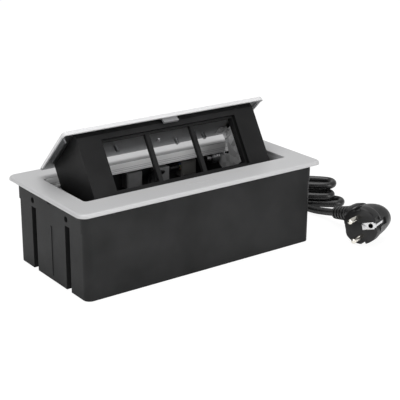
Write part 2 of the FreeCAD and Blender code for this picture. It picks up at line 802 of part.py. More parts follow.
def make_gland():
    inner = INNER_Y
    outer = BODY_W / 2
    def at(y):
        return V(GLAND_X, y, GLAND_Z)
    neck = rod(GLAND_R, at(inner), at(outer))
    flange = rod(GLAND_FLANGE_R, at(outer), at(outer + GLAND_FLANGE_T))
    reach = BOOT_END - outer - GLAND_FLANGE_T
    boot = Part.makeCone(BOOT_R, CORD_R + 1.2, reach, at(outer + GLAND_FLANGE_T), V(0, 1, 0))
    rings = []
    for i in range(5):
        y = outer + GLAND_FLANGE_T + 4 + i * 5.0
        share = (y - outer - GLAND_FLANGE_T) / reach
        radius = BOOT_R + (CORD_R + 1.2 - BOOT_R) * share
        rings.append(rod(radius + 0.9, at(y), at(y + 2.4)))
    return fuse_all(neck, [flange, boot] + rings)


def make_gland_nut():
    centre = V(GLAND_X, INNER_Y - GLAND_NUT_T, GLAND_Z)
    turns = [math.radians(60 * i) for i in range(7)]
    corners = [centre + V(math.cos(a), 0, math.sin(a)) * GLAND_NUT_R for a in turns]
    return Part.Face(Part.makePolygon(corners)).extrude(V(0, GLAND_NUT_T, 0))


# lead, hank and plug

def hank_frame():
    a = math.radians(HANK_HEADING)
    along = V(math.cos(a), math.sin(a), 0)
    return HANK_TIP - along * HANK_LENGTH, along


def hank_place(shape):
    start, along = hank_frame()
    moved = shape.copy()
    moved.rotate(V(0, 0, 0), V(0, 0, 1), HANK_HEADING)
    moved.translate(start)
    return moved


def hank_block(length0, length1, back, front, top, nose):
    block = box(length0, length1, -back, front, HANK_LIFT, top)
    far = [e for e in vertical_edges(block) if e.BoundBox.XMin > length1 - 1]
    return block.makeFillet(nose, far)


def make_hank():
    tied = hank_block(0, HANK_SPLIT + 6, HANK_BACK, HANK_FRONT, HANK_TOP, 2.0)
    near = [e for e in vertical_edges(tied) if e.BoundBox.XMin < 1]
    tied = tied.makeFillet(HANK_EDGE, near)
    shoulders = [e for e in edges_at_height(tied, HANK_TOP) if e.BoundBox.XLength > HANK_SPLIT / 2]
    tied = tied.makeFillet(HANK_EDGE - 0.5, shoulders)
    loose = hank_block(HANK_SPLIT, HANK_LENGTH + 3, HANK_BACK, HANK_LOOSE_FRONT, HANK_LOOSE_TOP, 12.0)
    loose = loose.makeFillet(HANK_EDGE, edges_at_height(loose, HANK_LOOSE_TOP))
    foot = hank_block(HANK_SPLIT + 8, HANK_FOOT_LENGTH, HANK_FOOT_BACK, HANK_FOOT_FRONT, HANK_FOOT_TOP, 8.0)
    return hank_place(fuse_all(tied, [loose, foot]))


def tie_loop(grow, length0, length1):
    loop = box(length0, length1, -HANK_BACK - grow, HANK_FRONT + grow, HANK_LIFT - grow, HANK_TOP + grow)
    edges = [e for e in loop.Edges if e.BoundBox.XLength > length1 - length0 - 0.1 and e.BoundBox.ZMin > 5]
    return loop.makeFillet(HANK_EDGE - 0.5 + grow, edges)


def make_tie():
    outer = tie_loop(TIE_T, TIE_AT, TIE_AT + TIE_W)
    inner = tie_loop(0.0, TIE_AT - 1, TIE_AT + TIE_W + 1)
    return hank_place(outer.cut(inner))


def plug_axes():
    n = V(PLUG_N).normalize()
    u = PLUG_U - n * PLUG_U.dot(n)
    u.normalize()
    return u, n.cross(u), n


def plug_place(shape):
    u, w, n = plug_axes()
    c = PLUG_CENTRE
    matrix = FreeCAD.Matrix(u.x, w.x, n.x, c.x, u.y, w.y, n.y, c.y, u.z, w.z, n.z, c.z, 0, 0, 0, 1)
    moved = shape.copy()
    moved.Placement = FreeCAD.Placement(matrix).multiply(moved.Placement)
    return moved


def plug_to_world(x, y, z):
    u, w, n = plug_axes()
    return PLUG_CENTRE + u * x + w * y + n * z


def neck_base():
    return V(0, 0, -PLUG_DEPTH * 0.7)


def neck_dir():
    return V(PLUG_NECK_DIR).normalize()


def neck_point(t):
    return neck_base() + neck_dir() * t


def plug_relief_end():
    tip = neck_point(PLUG_NECK_START + PLUG_RELIEF_L)
    return plug_to_world(tip.x, tip.y, tip.z)


def world_neck_dir():
    d = neck_dir()
    origin = plug_to_world(0, 0, 0)
    return plug_to_world(d.x, d.y, d.z) - origin


def make_plug_body():
    r = PLUG_R
    d = PLUG_DEPTH
    rim = Part.makePolygon([V(0, 0, -d), V(0, 0, 0), V(r - 1.2, 0, 0), V(r, 0, -1.4), V(r, 0, -d * 0.34)])
    back = Part.BSplineCurve()
    steps = ((0, 0.34), (0.9, 0.56), (4.2, 0.78), (10.4, 0.94), (r, 1.0))
    crown = [V(r - inset, 0, -d * share) for inset, share in steps]
    back.interpolate(crown, InitialTangent=V(0, 0, -1), FinalTangent=V(-1, 0, 0))
    profile = Part.Face(Part.Wire(rim.Edges + [back.toShape()]))
    body = profile.revolve(V(0, 0, 0), V(0, 0, 1), 360)
    neck = Part.makeCone(11.5, 8.0, PLUG_NECK_START - 6, neck_point(6), neck_dir())
    body = body.fuse(neck).removeSplitter()
    half = PLUG_CLIP_W / 2 + 0.8
    flat = r - PLUG_CLIP_T
    cuts = [box(-half, half, flat, r + 5, -15, 1), box(-half, half, -r - 5, -flat, -13, 1)]
    cuts.append(Part.makeCylinder(PLUG_PIN_R + 0.2, 14, V(0, PLUG_EARTH_OFFSET, -13)))
    return body.cut(cuts[0].multiFuse(cuts[1:]))


def make_plug_relief():
    start = neck_point(PLUG_NECK_START)
    length = PLUG_RELIEF_L
    r0 = 6.6
    r1 = CORD_R + 0.9
    outline = [V(0, 0, 0), V(7.6, 0, 0), V(7.6, 0, 2.2)]
    count = 5
    step = (length - 2.2) / count
    for i in range(count):
        z = 2.2 + step * i
        rib = r0 + (r1 - r0) * (i + 0.5) / count
        valley = z + step * 0.4
        outline += [V(rib - 1.3, 0, z), V(rib - 1.3, 0, valley)]
        outline += [V(rib + 0.5, 0, valley), V(rib + 0.5, 0, z + step)]
    outline.append(V(0, 0, length))
    profile = Part.Face(Part.makePolygon(outline + [outline[0]]))
    relief = profile.revolve(V(0, 0, 0), V(0, 0, 1), 360)
    relief.Placement = FreeCAD.Placement(start, FreeCAD.Rotation(V(0, 0, 1), neck_dir()))
    return relief


def make_plug_pin(side):
    pin = Part.makeCylinder(PLUG_PIN_R, PLUG_PIN_L, V(side * PLUG_PIN_PITCH / 2, 0, 0))
    tip = edges_at_height(pin, PLUG_PIN_L)
    return pin.makeFillet(1.2, tip)


def make_plug_earth():
    half = PLUG_CLIP_W / 2
    flat = PLUG_R - PLUG_CLIP_T
    face = box(-4.6, 4.6, PLUG_EARTH_OFFSET - 5.4, flat - 1.4, 0, 0.6)
    bridge = box(-half, half, flat - 1.5, PLUG_R - 0.2, 0, 0.6)
    strip = box(-half, half, flat, PLUG_R - 0.2, -13, 0.6)
    plate = fuse_all(face, [bridge, strip])
    return plate.cut(Part.makeCylinder(PLUG_PIN_R + 0.1, 3, V(0, PLUG_EARTH_OFFSET, -1)))


def make_plug_clip():
    half = PLUG_CLIP_W / 2
    flat = PLUG_R - PLUG_CLIP_T
    return box(-half, half, -PLUG_R + 0.2, -flat, -12, 0)


def lead_a_points():
    start, along = hank_frame()
    entry = start + along.cross(V(0, 0, 1)) * LEAD_ENTRY + V(0, 0, HANK_LIFT + CORD_R)
    points = [V(GLAND_X, BOOT_END, GLAND_Z)] + [V(*p) for p in LEAD_A_POINTS]
    points.append(entry - along * LEAD_A_LAST_RUN)
    points.append(entry)
    return points


def lead_b_points():
    tip = plug_relief_end()
    points = [V(*p) for p in LEAD_B_POINTS]
    points.append(tip + world_neck_dir() * LEAD_B_LAST_RUN)
    points.append(tip)
    return points


def export(name, shape):
    if not shape.isValid():
        print("not valid:", name)
    shape.exportStep("parts/" + name + ".step")
    b = shape.BoundBox
    spans = "x %.1f..%.1f y %.1f..%.1f z %.1f..%.1f" % (b.XMin, b.XMax, b.YMin, b.YMax, b.ZMin, b.ZMax)
    print("%-22s solids %d volume %.0f" % (name, len(shape.Solids), shape.Volume), spans)


def main():
    os.makedirs("parts", exist_ok=True)
    inner_cable = tube(inner_cable_points(), INNER_CABLE_R, "inner_cable")
    pieces = {
        "housing": make_housing(),
        "bezel": make_bezel(),
        "rear_trim": make_rear_trim(),
        "bezel_screws": make_bezel_screws(),
        "catch_clip": make_catch(),
        "hinge_bracket_left": make_bracket(-1),
        "hinge_bracket_right": make_bracket(1),
        "bracket_screws": make_bracket_screws(),
        "hinge_pin_left": make_pin(-1),
        "hinge_pin_right": make_pin(1),
        "torsion_spring_left": make_spring(-1),
        "torsion_spring_right": make_spring(1),
        "terminal_block_left": make_block(BLOCK_LEFT_X, BLOCK_LEFT_L, BLOCK_TOP, BLOCK_D),
        "cable_clamp": make_clamp(inner_cable),
        "terminal_block_right": make_block(BLOCK_RIGHT_X, BLOCK_RIGHT_L, BLOCK_RIGHT_TOP, BLOCK_D),
        "inner_cable": inner_cable,
        "core_live": make_core(-1),
        "core_earth": make_core(0),
        "core_neutral": make_core(1),
        "cable_gland": make_gland(),
        "gland_nut": make_gland_nut(),
        "cord_lead": tube(lead_a_points(), CORD_R, "cord_lead"),
        "cord_hank": make_hank(),
        "hank_tie": make_tie(),
        "cord_tail": tube(lead_b_points(), CORD_R, "cord_tail"),
        "plug_body": plug_place(make_plug_body()),
        "plug_relief": plug_place(make_plug_relief()),
        "plug_pin_live": plug_place(make_plug_pin(-1)),
        "plug_pin_neutral": plug_place(make_plug_pin(1)),
        "plug_earth_contact": plug_place(make_plug_earth()),
        "plug_earth_clip": plug_place(make_plug_clip()),
        "carrier": raise_up(make_carrier()),
        "module_frame": raise_up(make_module_frame()),
        "hinge_plate_left": raise_up(make_hinge_plate(-1)),
        "hinge_plate_right": raise_up(make_hinge_plate(1)),
        "plate_screws": raise_up(make_plate_screws()),
        "lid": raise_up(make_lid()),
        "lid_screws": raise_up(make_lid_screws()),
        "lid_bracket_left": raise_up(make_lid_bracket(-1)),
        "lid_bracket_right": raise_up(make_lid_bracket(1)),
        "latch_striker": raise_up(make_striker()),
    }
    for name, shape in pieces.items():
        export(name, shape)


main()
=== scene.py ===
import json
import math

import bpy
from mathutils import Matrix, Vector


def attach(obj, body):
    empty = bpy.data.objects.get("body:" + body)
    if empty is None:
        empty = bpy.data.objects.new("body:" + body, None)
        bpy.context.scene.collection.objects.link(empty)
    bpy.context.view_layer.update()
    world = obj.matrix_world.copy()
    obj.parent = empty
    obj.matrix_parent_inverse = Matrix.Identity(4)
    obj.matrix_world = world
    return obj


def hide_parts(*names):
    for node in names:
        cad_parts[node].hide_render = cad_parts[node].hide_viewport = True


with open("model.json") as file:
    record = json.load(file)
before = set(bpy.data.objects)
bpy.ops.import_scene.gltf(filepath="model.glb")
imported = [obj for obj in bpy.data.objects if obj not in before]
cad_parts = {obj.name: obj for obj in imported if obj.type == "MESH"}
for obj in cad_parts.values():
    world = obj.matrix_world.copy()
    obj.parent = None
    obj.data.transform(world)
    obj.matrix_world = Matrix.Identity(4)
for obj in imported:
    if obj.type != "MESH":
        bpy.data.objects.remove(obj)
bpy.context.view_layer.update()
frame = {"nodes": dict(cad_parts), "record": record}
MM = 0.001


# shader helpers
class Signal:
    """One output of a material's nodes. Maths on it adds the Math node that does it."""

    def __init__(self, finish, socket):
        self.finish = finish
        self.socket = socket

    def maths(self, operation, other=None, swapped=False):
        first, second = (other, self) if swapped else (self, other)
        inputs = {0: first} if second is None else {0: first, 1: second}
        return self.finish.node("ShaderNodeMath", {"operation": operation}, inputs)

    def __add__(self, other):
        return self.maths("ADD", other)

    def __radd__(self, other):
        return self.maths("ADD", other, True)

    def __sub__(self, other):
        return self.maths("SUBTRACT", other)

    def __rsub__(self, other):
        return self.maths("SUBTRACT", other, True)

    def __mul__(self, other):
        return self.maths("MULTIPLY", other)

    def __rmul__(self, other):
        return self.maths("MULTIPLY", other, True)

    def __gt__(self, other):
        return self.maths("GREATER_THAN", other)

    def __lt__(self, other):
        return self.maths("LESS_THAN", other)


class Finish:
    """A material with one Principled shader, and short calls for the nodes that feed it."""

    def __init__(self, name, colour, roughness, metallic=0.0, **plain):
        self.material = bpy.data.materials.new(name)
        self.material.use_nodes = True
        self.tree = self.material.node_tree
        self.shader = self.tree.nodes["Principled BSDF"]
        self.shader.inputs["Base Color"].default_value = (*colour, 1)
        self.shader.inputs["Roughness"].default_value = roughness
        self.shader.inputs["Metallic"].default_value = metallic
        for key, value in plain.items():
            title = key.replace("_", " ").title().replace("Ior", "IOR")
            self.shader.inputs[title].default_value = value
        self.material.diffuse_color = (*colour, 1)

    def node(self, kind, settings=None, inputs=None, output=0):
        made = self.tree.nodes.new(kind)
        for key, value in (settings or {}).items():
            setattr(made, key, value)
        for key, value in (inputs or {}).items():
            self.feed(made.inputs[key], value)
        return Signal(self, made.outputs[output])

    def feed(self, socket, value):
        if isinstance(value, Signal):
            self.tree.links.new(value.socket, socket)
        else:
            socket.default_value = value

    def set(self, key, value):
        self.feed(self.shader.inputs[key], value)

    def place(self):
        return self.node("ShaderNodeTexCoord", output="Object")

    def noise(self, scale, detail, roughness):
        inputs = {"Vector": self.place(), "Scale": scale, "Detail": detail, "Roughness": roughness}
        return self.node("ShaderNodeTexNoise", inputs=inputs)

    def grade(self, signal, low, high, to_low, to_high):
        inputs = {0: signal, 1: low, 2: high, 3: to_low, 4: to_high}
        return self.node("ShaderNodeMapRange", inputs=inputs)

    def blend(self, mask, under, over):
        made = self.node("ShaderNodeMix", {"data_type": "RGBA"}, {0: mask}, 2)
        mix = made.socket.node
        self.feed(mix.inputs[6], under if isinstance(under, Signal) else (*under, 1))
        self.feed(mix.inputs[7], over if isinstance(over, Signal) else (*over, 1))
        return made

    def relief(self, height, strength, distance):
        inputs = {"Height": height, "Strength": strength, "Distance": distance}
        return self.node("ShaderNodeBump", inputs=inputs)


# finishes
FLAKE_SCALE = 5200.0
FLAKE_DEPTH = 0.00002


def tint(colour, factor, lift=0.0):
    return tuple(min(1.0, channel * factor + lift) for channel in colour)


def moulded_plastic(name, colour, roughness, grain, depth, shine):
    """Moulded plastic with a fine grain and slow clouds in its colour."""
    skin = Finish(name, colour, roughness, specular_ior_level=shine)
    fine = skin.noise(grain, 2.0, 0.6)
    cloud = skin.noise(18.0, 3.0, 0.55)
    tone = skin.grade(cloud, 0.35, 0.65, 0.0, 1.0)
    skin.set("Base Color", skin.blend(tone, tint(colour, 0.8), tint(colour, 1.25, 0.004)))
    skin.set("Roughness", skin.grade(fine, 0.3, 0.7, roughness - 0.07, roughness + 0.07))
    skin.set("Normal", skin.relief(fine, 0.35, depth))
    return skin.material


def satin_silver(name, colour, roughness, metallic):
    """Silver paint with fine flakes."""
    paint = Finish(name, colour, roughness, metallic)
    flake = paint.noise(FLAKE_SCALE, 1.0, 0.5)
    cloud = paint.noise(9.0, 2.0, 0.5)
    tone = paint.grade(flake, 0.3, 0.7, 0.0, 1.0) * 0.6 + cloud * 0.4
    paint.set("Base Color", paint.blend(tone, tint(colour, 0.93), tint(colour, 1.05)))
    paint.set("Roughness", paint.grade(cloud, 0.3, 0.7, roughness - 0.03, roughness + 0.05))
    paint.set("Normal", paint.relief(flake, 0.12, FLAKE_DEPTH))
    return paint.material


def galvanised(name, colour, roughness):
    """Zinc-coated sheet with the patches of its crystals."""
    zinc = Finish(name, colour, roughness, 0.45)
    cells = {"Vector": zinc.place(), "Scale": 160.0}
    crystal = zinc.node("ShaderNodeTexVoronoi", inputs=cells, output="Color")
    patch = zinc.node("ShaderNodeSeparateColor", inputs={0: crystal})
    cloud = zinc.noise(60.0, 4.0, 0.6)
    tone = patch * 0.5 + cloud * 0.5
    shade = zinc.grade(tone, 0.25, 0.75, 0.0, 1.0)
    zinc.set("Base Color", zinc.blend(shade, tint(colour, 0.72), tint(colour, 1.18)))
    zinc.set("Roughness", zinc.grade(tone, 0.2, 0.8, roughness - 0.08, roughness + 0.12))
    zinc.set("Normal", zinc.relief(cloud, 0.25, 0.00005))
    return zinc.material


def turned_metal(name, colour, roughness):
    """Bare bright metal with fine streaks."""
    metal = Finish(name, colour, roughness, 1.0)
    streak = metal.noise(900.0, 2.0, 0.5)
    metal.set("Roughness", metal.grade(streak, 0.3, 0.7, roughness - 0.05, roughness + 0.08))
    metal.set("Normal", metal.relief(streak, 0.1, 0.00003))
    return metal.material


def soft_sheath(name, colour, roughness, coat=0.0, shine=0.5):
    """Soft plastic of a cord or plug, with scuffs."""
    sheath = Finish(
        name, colour, roughness, specular_ior_level=shine, coat_weight=coat, coat_roughness=0.25
    )
    scuff = sheath.noise(420.0, 3.0, 0.6)
    cloud = sheath.noise(35.0, 2.0, 0.5)
    tone = sheath.grade(cloud, 0.35, 0.7, 0.0, 1.0)
    sheath.set("Base Color", sheath.blend(tone, colour, tint(colour, 1.5, 0.004)))
    sheath.set("Roughness", sheath.grade(scuff, 0.3, 0.75, roughness - 0.05, roughness + 0.12))
    sheath.set("Normal", sheath.relief(scuff, 0.15, 0.00006))
    return sheath.material


# the lid at rest stands 45 degrees up, turned about the pivot line; its shut sizes, in mm
PIVOT_Y = 45.3
PIVOT_Z = 65.2
LID_TOP = 81.9
LID_SHEET = 1.5
LID_REACH = 36.8
HALF_ROOT = math.sqrt(0.5)

# where the lid's colours meet, in metres: levels over the pivot line, the inside of its lips; the rim's
# lighter colour is a painted highlight and the underside's darker colour is painted shade
LID_PLANE = (PIVOT_Y + PIVOT_Z) * HALF_ROOT * MM
LID_FRONT = (PIVOT_Y - (PIVOT_Y - PIVOT_Z) * HALF_ROOT + LID_REACH) * MM
LID_UNDER = (LID_TOP - PIVOT_Z - LID_SHEET + 0.25) * MM
LID_RIM = (LID_TOP - PIVOT_Z - 0.4) * MM
LID_LIP = 0.0022
LID_HALF = 0.1088

# the lid's darker and lighter tone of each colour: its paint, and its underside's darker colour, which
# is painted shade; then its rim's single lighter colour, which is a painted highlight
LID_PAINT = ((0.47, 0.47, 0.475), (0.52, 0.52, 0.525))
LID_SHADED_UNDERSIDE = ((0.25, 0.254, 0.26), (0.3, 0.304, 0.31))
LID_RIM_HIGHLIGHT = (0.62, 0.62, 0.625)


def lid_sheet(name):
    """Paint on the lid's top, a lighter rim that is a painted highlight, and a more metallic underside
    whose darker colour is painted shade.
    """
    sheet = Finish(name, (0.8, 0.8, 0.805), 0.34)
    across = sheet.node("ShaderNodeSeparateXYZ", inputs={0: sheet.place()})
    back, rise = (Signal(sheet, across.socket.node.outputs[axis]) for axis in "YZ")
    level = (back + rise) * HALF_ROOT - LID_PLANE
    from_front = (back - rise) * HALF_ROOT + LID_FRONT
    within = (across.maths("ABSOLUTE") < LID_HALF) * (from_front > LID_LIP)
    # the underside inside the lips: its darker colour is painted shade, and it is made more metallic and
    # smoother
    shaded_underside = (level < LID_UNDER) * within
    flake = sheet.noise(FLAKE_SCALE, 1.0, 0.5)
    cloud = sheet.noise(9.0, 2.0, 0.5)
    tone = sheet.grade(flake, 0.3, 0.7, 0.0, 0.6) + cloud * 0.4
    # below the top, the rim and lips get a lighter colour, a painted highlight
    painted = sheet.blend(level < LID_RIM, sheet.blend(tone, *LID_PAINT), LID_RIM_HIGHLIGHT)
    sheet.set("Base Color", sheet.blend(shaded_underside, painted, sheet.blend(tone, *LID_SHADED_UNDERSIDE)))
    sheet.set("Metallic", sheet.grade(shaded_underside, 0, 1, 0.15, 0.95))
    sheet.set("Roughness", sheet.grade(shaded_underside, 0, 1, 0.42, 0.27) + cloud * 0.04)
    sheet.set("Normal", sheet.relief(flake, 0.12, FLAKE_DEPTH))
    return sheet.material


# the trim's drawn lines: their top, their spacing in metres, and where in it the groove starts
TRIM_LINES_FROM = 0.0765
TRIM_LINE_STEP = 0.0019
TRIM_GROOVE = 0.8


def grooved_trim(name):
    """Silver strip with fine drawn lines along it; their bottoms are painted dark, painted shade in the
    grooves.
    """
    trim = Finish(name, (0.92, 0.92, 0.92), 0.34, 0.2)
    rise = trim.node("ShaderNodeSeparateXYZ", inputs={0: trim.place()}, output="Z")
    step = ((rise - TRIM_LINES_FROM) * (1 / TRIM_LINE_STEP)).maths("FRACT")
    line = (step > TRIM_GROOVE) * (rise < TRIM_LINES_FROM)
    cloud = trim.noise(40.0, 2.0, 0.5)
    face = trim.blend(cloud, (0.86, 0.86, 0.865), (0.95, 0.95, 0.95))
    # the dark colour in each groove is painted shade
    trim.set("Base Color", trim.blend(line * 0.7, face, (0.2, 0.2, 0.21)))
    trim.set("Roughness", trim.grade(cloud, 0.3, 0.7, 0.3, 0.4))
    trim.set("Normal", trim.relief(1 - line, 0.5, 0.0002))
    return trim.material


LID_SILVER = lid_sheet("lid_silver")
FINISHES = {
    "black_plastic": moulded_plastic(
        "housing_plastic", (0.0125, 0.0127, 0.013), 0.5, grain=2600.0, depth=0.00006, shine=0.18
    ),
    "carrier_plastic": moulded_plastic(
        "carrier_plastic", (0.0064, 0.0064, 0.0067), 0.46, grain=3200.0, depth=0.00004, shine=0.16
    ),
    "grey_plastic": moulded_plastic(
        "catch_grey", (0.16, 0.16, 0.165), 0.4, grain=2400.0, depth=0.00004, shine=0.4
    ),
    "white_plastic": moulded_plastic(
        "terminal_white", (0.15, 0.148, 0.142), 0.35, grain=2000.0, depth=0.00004, shine=0.5
    ),
    "dark_grey_plastic": moulded_plastic(
        "terminal_grey", (0.24, 0.24, 0.245), 0.4, grain=2400.0, depth=0.00004, shine=0.45
    ),
    "silver_paint": satin_silver("bezel_silver", (0.485, 0.485, 0.49), 0.42, 0.15),
    "silver_trim": grooved_trim("trim_silver"),
    "zinc_steel": galvanised("zinc_plate", (0.8, 0.8, 0.805), 0.38),
    "bright_steel": turned_metal("bright_screw", (0.72, 0.72, 0.73), 0.22),
    "spring_steel": turned_metal("spring_wire", (0.6, 0.6, 0.61), 0.3),
    "pin_brass": turned_metal("pin_nickel", (0.82, 0.79, 0.72), 0.16),
    "cord_black": soft_sheath("cord_sheath", (0.006, 0.006, 0.0064), 0.27, coat=0.12, shine=0.42),
    "plug_black": soft_sheath("plug_shell", (0.006, 0.006, 0.0064), 0.34, coat=0.08, shine=0.3),
    "core_brown": soft_sheath("core_brown", (0.08, 0.04, 0.025), 0.35),
    "core_blue": soft_sheath("core_blue", (0.02, 0.035, 0.08), 0.35),
    "core_green": soft_sheath("core_green_yellow", (0.1, 0.12, 0.04), 0.35),
}


def dress(obj, slot, finish=None):
    obj.data.materials.clear()
    obj.data.materials.append(finish or FINISHES[slot])


for part in frame["record"]["subparts"]:
    own = LID_SILVER if part["node"] == "lid" else None
    dress(frame["nodes"][part["node"]], part["material_slot"], own)


# mains lead, in mm: the run from the gland to the hank
CORD_D = 7.6
LEAD = [
    Vector((-25.0, 95.0, 38.0)),
    Vector((-25.0, 112.0, 38.0)),
    Vector((-12.0, 134.0, 35.5)),
    Vector((10.0, 147.5, 28.5)),
    Vector((37.0, 152.0, 19.0)),
    Vector((64.0, 148.0, 10.5)),
    Vector((89.0, 136.0, 5.8)),
]

# hank: its own directions, along it and towards the camera
HANK_START = Vector((136.84, 91.83, 0.0))
HANK_ALONG = Vector((0.72, -0.694, 0.0)).normalized()
HANK_NEAR = Vector((-0.694, -0.72, 0.0)).normalized()
HANK_ENTRY = (-33, -3, 4.6)

# folds at the tied end; the upright one goes up by one layer, and is given as (along, height)
FIRST_FOLD = [(-8, 9, 5.5), (-12, 2, 11), (-6, -5, 13.4)]
LAST_FOLD = [(-8, -13, 4.6), (-19, -9, 9), (-22, 1, 12.5)]
UPRIGHT = [(-3, 11.2), (-8.5, 11.6), (-11.5, 14.4), (-11.5, 18.4), (-8.5, 21.2), (-3, 21.4)]


def upright_fold(near):
    return [(along, near, height) for along, height in UPRIGHT]


# each turn of the hank: its lanes out and back as (near, height) where they are tied, the same where
# they are loose, how far its bend reaches, and its fold at the tied end
TURNS = [
    ((-3, 4.6), (5.4, 4.6), (3.2, 4.4), (21, 4.4), 127.4, FIRST_FOLD),
    ((-3, 12.4), (5.4, 12.4), (4, 12.3), (21, 12.2), 116.6, upright_fold(8.2)),
    ((5.4, 20.2), (-11.4, 20.2), (10, 20.4), (-11, 20.4), 117.8, upright_fold(-12.8)[::-1]),
    ((-11.4, 12.4), (-11.4, 4.6), (-10, 12.2), (-22, 4.6), 106.0, LAST_FOLD),
]
TIED_TO = 45.0
LOOSE_FROM = 88.0
LANE_STOPS = (10.0, 28.0, 46.0, 64.0, 84.0)
BEND_INSET = 0.586

# the run from the hank to the plug: first in the hank's own directions, then in the frame's, and at
# last straight into the boot
LAST_TURN = [
    (-18, 12, 9),
    (-7, 16.8, 4.6),
    (8, 15.5, 4.4),
    (25, 14.6, 4.4),
    (44.7, 15, 4.2),
    (58, 17.5, 4.1),
    (68, 21, 4),
]
TAIL = [
    Vector((174.8, 17.0, 4.0)),
    Vector((178.6, 5.0, 4.0)),
    Vector((180.4, -9.0, 4.4)),
    Vector((181.3, -21.0, 6.4)),
]
CORD_SUNK = 3
CORD_STRAIGHT = 11


def in_hank(along, near, height):
    return HANK_START + HANK_ALONG * along + HANK_NEAR * near + Vector((0, 0, height))


def lane(tied, loose, other, bend):
    """The points of one lane, from the tie to the middle of its bend; other is the lane it meets."""
    half = (loose[0] - other[0]) / 2
    points = []
    for along in (*LANE_STOPS, bend - BEND_INSET * abs(half)):
        share = min(1.0, max(0.0, (along - TIED_TO) / (LOOSE_FROM - TIED_TO)))
        share = share * share * (3 - 2 * share)
        near, height = (a + (b - a) * share for a, b in zip(tied, loose))
        points.append(in_hank(along, near, height))
    points.append(in_hank(bend, loose[0] - BEND_INSET * half, loose[1]))
    return points


def hank_route():
    route = [in_hank(*HANK_ENTRY)]
    for tied_out, tied_back, loose_out, loose_back, bend, fold in TURNS:
        route += lane(tied_out, loose_out, loose_back, bend)
        route += reversed(lane(tied_back, loose_back, loose_out, bend))
        route += [in_hank(*point) for point in fold]
    return route + [in_hank(*point) for point in LAST_TURN]


def nurbs_tube(name, points, radius):
    curve = bpy.data.curves.new(name, "CURVE")
    curve.dimensions = "3D"
    spline = curve.splines.new("NURBS")
    spline.points.add(len(points) - 1)
    for point, place in zip(spline.points, points):
        point.co = (*(place * MM), 1)
    spline.order_u = 3
    spline.use_endpoint_u = True
    spline.resolution_u = 8
    curve.bevel_depth = radius * MM
    curve.bevel_resolution = 5
    curve.use_fill_caps = True
    tube = bpy.data.objects.new(name, curve)
    bpy.context.scene.collection.objects.link(tube)
    return tube


# modelling helpers, all in mm
ROUND_SIDES = 56
TIP_STEPS = 3
BEVEL_FROM = math.radians(34)
SMOOTH_TO = math.radians(32)


def pick_only(target):
    bpy.ops.object.select_all(action="DESELECT")
    target.select_set(True)
    bpy.context.view_layer.objects.active = target


def solid_start(maker, name, place, **sizes):
    bpy.ops.object.select_all(action="DESELECT")
    maker(location=place * MM, **sizes)
    made = bpy.context.object
    made.name = name
    bpy.ops.object.transform_apply(location=True, rotation=True, scale=True)
    return made


def drawn_out(name, rings, turn=(0, 0, 0)):
    """A round body, extruded ring by ring; a ring is its centre and its two half-widths."""
    place, wide, deep = rings[0]
    circle = {"vertices": ROUND_SIDES, "radius": wide * MM, "fill_type": "NGON", "rotation": turn}
    body = solid_start(bpy.ops.mesh.primitive_circle_add, name, place, **circle)
    bpy.ops.object.mode_set(mode="EDIT")
    bpy.ops.mesh.select_all(action="SELECT")
    for (last, w0, d0), (place, w1, d1) in zip(rings, rings[1:]):
        bpy.ops.mesh.extrude_region_move(TRANSFORM_OT_translate={"value": (place - last) * MM})
        growth = (w1 / w0,) * 3 if any(turn) else (w1 / w0, d1 / d0, 1)
        bpy.ops.transform.resize(value=growth, center_override=place * MM)
    bpy.ops.mesh.select_all(action="SELECT")
    bpy.ops.mesh.normals_make_consistent(inside=False)
    bpy.ops.object.mode_set(mode="OBJECT")
    return body


def block(name, low, high):
    middle = Vector([(a + b) / 2 for a, b in zip(low, high)])
    spans = [(b - a) * MM for a, b in zip(low, high)]
    return solid_start(bpy.ops.mesh.primitive_cube_add, name, middle, size=1, scale=spans)


def rod(name, x, y, z0, z1, radius, tip=0.0):
    """An upright rod from z0 to z1, its end rounded by tip."""
    rings = [(Vector((x, y, z0)), radius, radius)]
    for step in range(TIP_STEPS + 1):
        turn = math.pi / 2 * step / TIP_STEPS
        wide = radius - tip * (1 - math.cos(turn))
        rings.append((Vector((x, y, z1 - tip + tip * math.sin(turn))), wide, wide))
    return drawn_out(name, rings)


def combine(target, tool, operation):
    bpy.context.view_layer.objects.active = target
    change = target.modifiers.new(operation.lower(), "BOOLEAN")
    change.operation = operation
    change.object = tool
    bpy.ops.object.modifier_apply(modifier=change.name)
    bpy.data.objects.remove(tool)


def cut_block(target, name, x, y, z):
    """Take a block out of a piece; x, y and z are its spans."""
    low, high = zip(sorted(x), sorted(y), sorted(z))
    combine(target, block(name, low, high), "DIFFERENCE")


def soften(target, width, segments):
    pick_only(target)
    round_off = target.modifiers.new("soften", "BEVEL")
    round_off.width = width * MM
    round_off.segments = segments
    round_off.angle_limit = BEVEL_FROM
    bpy.ops.object.modifier_apply(modifier=round_off.name)
    bpy.ops.object.shade_smooth_by_angle(angle=SMOOTH_TO)


# plug, made at the origin with x along the pins' line, y to the earth contact and z out of the face
PLUG_OUT = Vector((-0.9241, -0.3794, 0.0451))
PLUG_PIN_LINE = Vector((0.0571, -0.2537, -0.9656))
PLUG_EARTH_WAY = Vector((0.3778, -0.8898, 0.2561))
PLUG_CENTRE = Vector((155.73, -98.82, 19.58))
PLUG_PLACE = Matrix((PLUG_PIN_LINE, PLUG_EARTH_WAY, PLUG_OUT)).transposed().to_4x4()
PLUG_PLACE.translation = PLUG_CENTRE * MM

